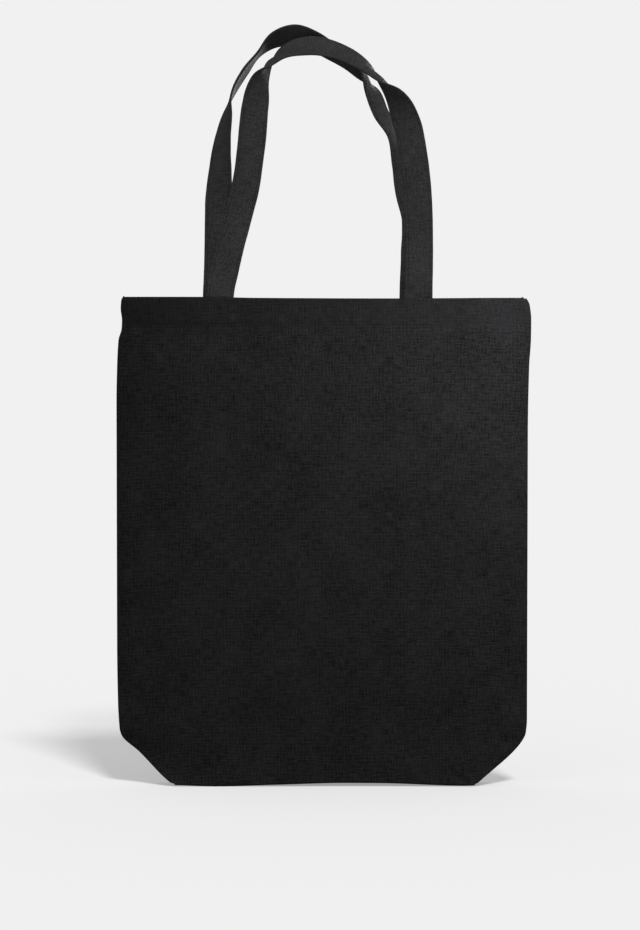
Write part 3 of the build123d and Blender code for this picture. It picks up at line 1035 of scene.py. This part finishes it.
# Each strap stands nearly flat on its legs, and turns its other face out over the arch.
LIES = {
    Side.FRONT: [
        Lie(-88.5, 30), Lie(-79.5, 66), Lie(-70.5, 101), Lie(-65, 140), Lie(-61.5, 174, -14),
        Lie(-55, 202, -58), Lie(-49, 213, -90, -28), Lie(-38, 222, -113), Lie(-12, 230, -136),
        Lie(16, 224.5, -129), Lie(42, 209, -113, -8), Lie(53, 199, -92, -26), Lie(66, 184, -52, -4),
        Lie(77, 160, -8), Lie(84, 124), Lie(87.5, 90), Lie(88.5, 45),
    ],
    Side.REAR: [
        Lie(-97, 25), Lie(-96, 78), Lie(-95, 115, -30), Lie(-92, 150, -56), Lie(-88, 170, -72),
        Lie(-85, 183, -90), Lie(-72, 208, -101), Lie(-58, 226, -96), Lie(-44, 238, -118),
        Lie(-27, 242, -134), Lie(-8, 236.5, -131), Lie(10, 226, -122), Lie(26, 216, -118),
        Lie(37, 206, -100, -25), Lie(46, 190, -60), Lie(54, 171, -55), Lie(66, 151, -60),
        Lie(74, 124, -42), Lie(78, 99, -33), Lie(84.5, 74, -26), Lie(85, 40, -12),
    ],
}  # fmt: skip


@dataclass
class Strap:
    """Middle surface of a strap as a grid: along its length, and across its width."""

    points: Array  # along by across by xyz, in mm
    normals: Array
    along: Array  # distance along the strap
    across: Array  # distance from the strap's middle line


@dataclass
class Handle:
    """One strap, from its sewn end at the left to its sewn end at the right."""

    side: Side
    shape: BagShape
    sewing: Sewing
    width: float = 25.5
    thickness: float = 2.0
    arch_inset: float = 3.0  # how much nearer the bag's middle the arch is than the legs
    arch_height: float = 236.0
    sewn: float = 22.0  # length inside the hem
    stitch_inset: float = 2.8  # from the strap's edges to its topstitching
    stitch_column: int = 5  # the grid's column there
    stitch_depth: float = 0.37  # of the thickness, where the thread lies in its groove
    face_gap: float = 40.0  # on the cloth, from one face's pattern to the other's
    fold_round: float = 1.5  # how rounded a lengthwise fold is

    def leg_depth(self) -> float:
        """Distance of the sewn ends from the bag's middle plane."""
        low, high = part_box(f"{self.side.word}_handle_left_end")
        return abs(low[1] + high[1]) / 2 / MM

    def stations(self) -> tuple[Array, Array]:
        """Where the strap's middle line passes, from one sewn end to the other.

        Returns:
            Points as stations by xyz in mm, and for each how far it is turned and folded.
        """
        left, right = handle_middles(self.side)
        drops = (-self.sewn, -self.sewn / 2, 0.5)
        lies = [Lie(left, up) for up in drops] + LIES[self.side] + [Lie(right, up) for up in drops[::-1]]
        leg, top = self.leg_depth(), self.shape.height
        points = [
            (lie.across, leg - self.arch_inset * max(lie.up, 0) / self.arch_height, top + lie.up)
            for lie in lies
        ]
        return np.array(points), np.radians([(lie.turned, lie.folded) for lie in lies])

    @staticmethod
    def curve(at: Array, knots: Array, values: Array) -> Array:
        """A smooth curve through values at knots, read at each position."""
        slope = np.diff(values, axis=0) / np.diff(knots)[:, None]
        before, after = slope[:-1], slope[1:]
        gap = np.diff(knots)
        weight = (gap[1:] / (gap[:-1] + gap[1:]))[:, None]
        tangent = np.concatenate([slope[:1], before * weight + after * (1 - weight), slope[-1:]])
        i = np.clip(np.searchsorted(knots, at, side="right") - 1, 0, len(knots) - 2)
        run, share = gap[i][:, None], ((at - knots[i]) / gap[i])[:, None]
        return between(share, run, (values[i], values[i + 1]), (tangent[i], tangent[i + 1]))

    def surface(self, step: float = 1.6) -> Strap:
        """Build the strap's middle surface from the way it lies.

        Args:
            step: Distance between rows of points, in mm.

        Returns:
            The grid of points and normals.
        """
        middle, bends = self.stations()
        knots = np.concatenate([[0], np.cumsum(np.linalg.norm(np.diff(middle, axis=0), axis=1))])
        fine = np.linspace(0, knots[-1], round(knots[-1] / step))
        path = self.curve(fine, knots, middle)[:, None]
        turned, folded = self.curve(fine, knots, bends).T[:, :, None, None]
        ahead = np.gradient(path, axis=0)
        ahead /= np.linalg.norm(ahead, axis=2, keepdims=True)
        outwards = np.array([0.0, 1.0, 0.0])
        width_way = np.cos(turned) * np.cross(outwards, ahead) + np.sin(turned) * outwards
        face_way = np.cross(ahead, width_way)
        spots = ((self.columns() - 0.5) * self.width)[None, :, None]
        crest = self.width / 4 - np.hypot(spots, self.fold_round)
        points = path + width_way * np.cos(folded) * spots + face_way * np.sin(folded) * crest
        points[:, :, 1] *= self.side.value
        points = self.curled(points, fine)
        along = np.gradient(points, axis=0)
        across = np.gradient(points, axis=1)
        normals = np.cross(along, across)
        normals /= np.maximum(np.linalg.norm(normals, axis=2, keepdims=True), 1e-9)
        return Strap(points, self.settled(normals), fine, spots.ravel())

    @staticmethod
    def settled(normals: Array) -> Array:
        """Average each normal with its neighbours along the strap."""
        total = normals.copy()
        for shift in (1, 2):
            total[shift:] += normals[:-shift]
            total[:-shift] += normals[shift:]
        return total / np.maximum(np.linalg.norm(total, axis=2, keepdims=True), 1e-9)

    def columns(self) -> Array:
        """Shares of the width where the grid has its columns."""
        edge = [0.0, 0.014, 0.035, 0.065, 0.095, 0.11, 0.125, 0.155, 0.2]
        inner = np.linspace(0.25, 0.75, 11)
        return np.concatenate([edge, inner, 1 - np.array(edge[::-1])])

    def curled(self, points: Array, along: Array) -> Array:
        """Let the strap's edges wander and curl a little between its sewn ends."""
        free = (ease((points[:, :, 2] - self.shape.height - 4) / 20))[:, :, None]
        across = points[:, -1:] - points[:, :1]
        ahead = np.gradient(points[:, [len(points[0]) // 2]], axis=0)
        face = np.cross(ahead, across)
        face /= np.maximum(np.linalg.norm(face, axis=2, keepdims=True), 1e-9)
        flat = np.zeros_like(along)
        spot = (self.columns() - 0.5)[None, :, None] * 2
        seed = 90 + self.side.value
        cup = (0.5 + 0.45 * ripple(along, flat, 46, 46, seed))[:, None, None] * (spot**2 - 0.35)
        buckle = 0.5 * ripple(along, flat, 27, 27, seed + 3)[:, None, None] * spot
        edge = np.zeros(points.shape[:2])
        for sign, index in ((-1, 0), (1, 1)):
            wobble = 0.16 * ripple(along, flat, 11, 11, seed + 5 + index)
            edge += wobble[:, None] * np.clip(self.columns()[None] * 2 * sign - sign, 0, 1)
        outward = across / np.maximum(np.linalg.norm(across, axis=2, keepdims=True), 1e-9)
        return points + free * (face * (cup + buckle) + outward * edge[:, :, None])

    def profile(self) -> Array:
        """Height of the strap's face above its middle surface, at each column."""
        x = np.abs((self.columns() - 0.5) * self.width)
        half, row = self.width / 2, self.width / 2 - self.stitch_inset
        height = through(half - x, [(0, 0.3), (0.36, 0.8), (0.9, 1.0), (1.6, 1.04), (half, 1.0)])
        groove = np.exp(-(((x - row) / 0.55) ** 2))
        return self.thickness / 2 * (height - 0.24 * groove)

    def build(self) -> list[bpy.types.Object]:
        """Build and return the strap and its topstitching."""
        strap = self.surface()
        lift = self.profile()[None, :, None] * strap.normals
        outer, inner = strap.points + lift, strap.points - lift
        rings = np.concatenate([outer, inner[:, ::-1]], axis=1)
        shown = np.concatenate([strap.across, strap.across[::-1] + self.face_gap])
        uv = np.stack(np.broadcast_arrays(shown[None], strap.along[:, None]), axis=-1) * MM
        name = self.side.handle
        piece = tube(f"{name}_strap", rings, uv)
        piece.data.materials.append(STRAP_CANVAS.material())
        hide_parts(name, f"{name}_left_end", f"{name}_right_end")
        return [self.hold(piece), self.topstitching(strap)]

    def topstitching(self, strap: Strap) -> bpy.types.Object:
        """Two rows of stitches on each face, inside the strap's edges."""
        middle = strap.points[:, len(strap.across) // 2]
        shown = middle[:, 2] > self.shape.height + 1
        rows = []
        for column in (self.stitch_column, len(strap.across) - 1 - self.stitch_column):
            for facing in (-1, 1):
                out = facing * strap.normals[:, column]
                path = strap.points[:, column] + out * self.thickness * self.stitch_depth
                rows.append(StitchRow(path[shown], out[shown], proud=0.36, width=0.6))
        piece = self.sewing.sew(f"{self.side.handle}_topstitching", rows)
        return self.hold(piece)

    def hold(self, piece: bpy.types.Object) -> bpy.types.Object:
        """Bake a piece's placement into its mesh."""
        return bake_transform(piece)


# --- Studio -----------------------------------------------------------------------------


@dataclass(frozen=True)
class Lamp:
    """A soft round lamp that lights one group of pieces alone."""

    name: str
    power: float  # watts
    size: float  # diameter, in metres
    at: tuple[float, float, float]
    aim: tuple[float, float, float]

    def light(self, lit: bpy.types.Collection) -> None:
        """Hang the lamp over the pieces that it lights."""
        data = bpy.data.lights.new(self.name, "AREA")
        data.shape = "DISK"
        data.size = self.size
        data.energy = self.power
        lamp = bpy.data.objects.new(self.name, data)
        lamp.location = self.at
        lamp.rotation_euler = (Vector(self.aim) - lamp.location).to_track_quat("-Z", "Y").to_euler()
        lamp.light_linking.receiver_collection = lit
        lamp.visible_camera = False
        bpy.context.scene.collection.objects.link(lamp)


FRONT_WALL_LAMP = Lamp("wall lamp", 3.8, 0.12, (0.25, -0.28, 0.50), (0.15, 0, 0.42))
HANDLE_LAMP = Lamp("handle lamp", 5.0, 0.6, (-0.75, -1.0, 0.08), (0, 0, 0.6))
SIDE_HANDLE_LAMP = Lamp("side handle lamp", 7.0, 0.4, (1.2, -0.5, 0.30), (0, 0, 0.6))
REAR_LAMP = Lamp("rear lamp", 80.0, 0.8, (0.6, 1.3, 0.8), (0, 0, 0.3))


@dataclass
class Studio:
    """Pale floor, even surround, and soft suns and lamps for the walls and the handles."""

    surround: str = "f1f1f1"
    floor_albedo: float = 0.25
    floor_glow: float = 0.334
    floor_reach: float = 100.0  # metres
    sun_strength: float = 5.25
    sun_angle: float = 11.0  # degrees across
    sun_way: tuple[float, float, float] = (-0.24, 0.78, -1.0)
    across: float = -0.0023  # metres from the bag's middle to the camera
    distance: float = 3.016  # camera to the bag's middle plane, in metres
    eye: float = 0.44
    aim: tuple[float, float] = (-0.016, 0.297)  # Y and Z that the camera looks at
    view_width: float = 0.590  # metres seen from side to side at the middle plane
    sensor: float = 36.0  # mm
    clip_end: float = 400.0  # metres

    def build(self, walls: bpy.types.Collection, handles: bpy.types.Collection) -> None:
        """Build the camera, the lights and the floor."""
        self.camera()
        self.world()
        FRONT_WALL_LAMP.light(walls)
        HANDLE_LAMP.light(handles)
        SIDE_HANDLE_LAMP.light(handles)
        REAR_LAMP.light(walls)
        REAR_LAMP.light(handles)
        ground = bpy.data.collections.new("walls and floor")
        bpy.context.scene.collection.children.link(ground)
        ground.children.link(walls)
        ground.objects.link(self.floor())
        self.sun("sun", ground)
        self.sun("handle sun", handles).light_linking.blocker_collection = walls
        view = bpy.context.scene.view_settings
        view.view_transform = "Standard"
        view.look = "None"

    def camera(self) -> None:
        """A long lens straight in front of the bag, a little above its middle."""
        data = bpy.data.cameras.new("camera")
        data.sensor_fit = "HORIZONTAL"
        data.sensor_width = self.sensor
        data.lens = self.sensor * self.distance / self.view_width
        data.clip_end = self.clip_end
        camera = bpy.data.objects.new("camera", data)
        bpy.context.scene.collection.objects.link(camera)
        camera.location = (self.across, -self.distance, self.eye)
        target = Vector((self.across, *self.aim))
        camera.rotation_euler = (target - camera.location).to_track_quat("-Z", "Y").to_euler()
        bpy.context.scene.camera = camera

    def world(self) -> None:
        """An even pale surround."""
        world = bpy.data.worlds.new("surround")
        world.use_nodes = True
        world.node_tree.nodes.clear()
        glow = add_node(world.node_tree, "ShaderNodeBackground", {0: linear(self.surround), 1: 1.0})
        add_node(world.node_tree, "ShaderNodeOutputWorld", {0: glow.outputs[0]})
        bpy.context.scene.world = world

    def sun(self, name: str, lit: bpy.types.Collection) -> bpy.types.Object:
        """A wide sun from the upper right front, which lights one collection alone."""
        light = bpy.data.lights.new(name, "SUN")
        light.energy = self.sun_strength
        light.angle = math.radians(self.sun_angle)
        sun = bpy.data.objects.new(name, light)
        sun.rotation_euler = Vector(self.sun_way).to_track_quat("-Z", "Y").to_euler()
        sun.light_linking.receiver_collection = lit
        bpy.context.scene.collection.objects.link(sun)
        return sun

    def floor(self) -> bpy.types.Object:
        """A pale matte floor that runs out of sight."""
        reach = self.floor_reach / MM
        points = np.array([(-reach, -reach, 0), (reach, -reach, 0), (reach, reach, 0), (-reach, reach, 0)])
        floor = new_piece("floor", points, [(0, 1, 2, 3)])
        made = bpy.data.materials.new("matte floor")
        made.use_nodes = True
        shader = made.node_tree.nodes["Principled BSDF"]
        shader.inputs["Base Color"].default_value = (*[self.floor_albedo] * 3, 1)
        shader.inputs["Roughness"].default_value = 1.0
        shader.inputs["Specular IOR Level"].default_value = 0.0
        shader.inputs["Emission Color"].default_value = (1, 1, 1, 1)
        shader.inputs["Emission Strength"].default_value = self.floor_glow
        floor.data.materials.append(made)
        return floor


def gather(name: str, handles: bool) -> bpy.types.Collection:
    """Put the handles' pieces, or all the others, in one collection for a lamp."""
    group = bpy.data.collections.new(name)
    bpy.context.scene.collection.children.link(group)
    for piece in list(bpy.context.scene.objects):
        if piece.type == "MESH" and ("_handle_" in piece.name) == handles:
            group.objects.link(piece)
    return group


def main() -> None:
    """Build the bag, its handles and the studio."""
    logging.basicConfig(level=logging.INFO, format="%(message)s")
    shape, sewing = BagShape(), Sewing()
    pieces = BagCloth(shape, sewing).build()
    for side in Side:
        pieces += Handle(side, shape, sewing).build()
    for piece in pieces:
        LOG.info("%s: %d points", piece.name, len(piece.data.vertices))
    Studio().build(gather("walls", False), gather("handles", True))


if __name__ == "__main__":
    main()
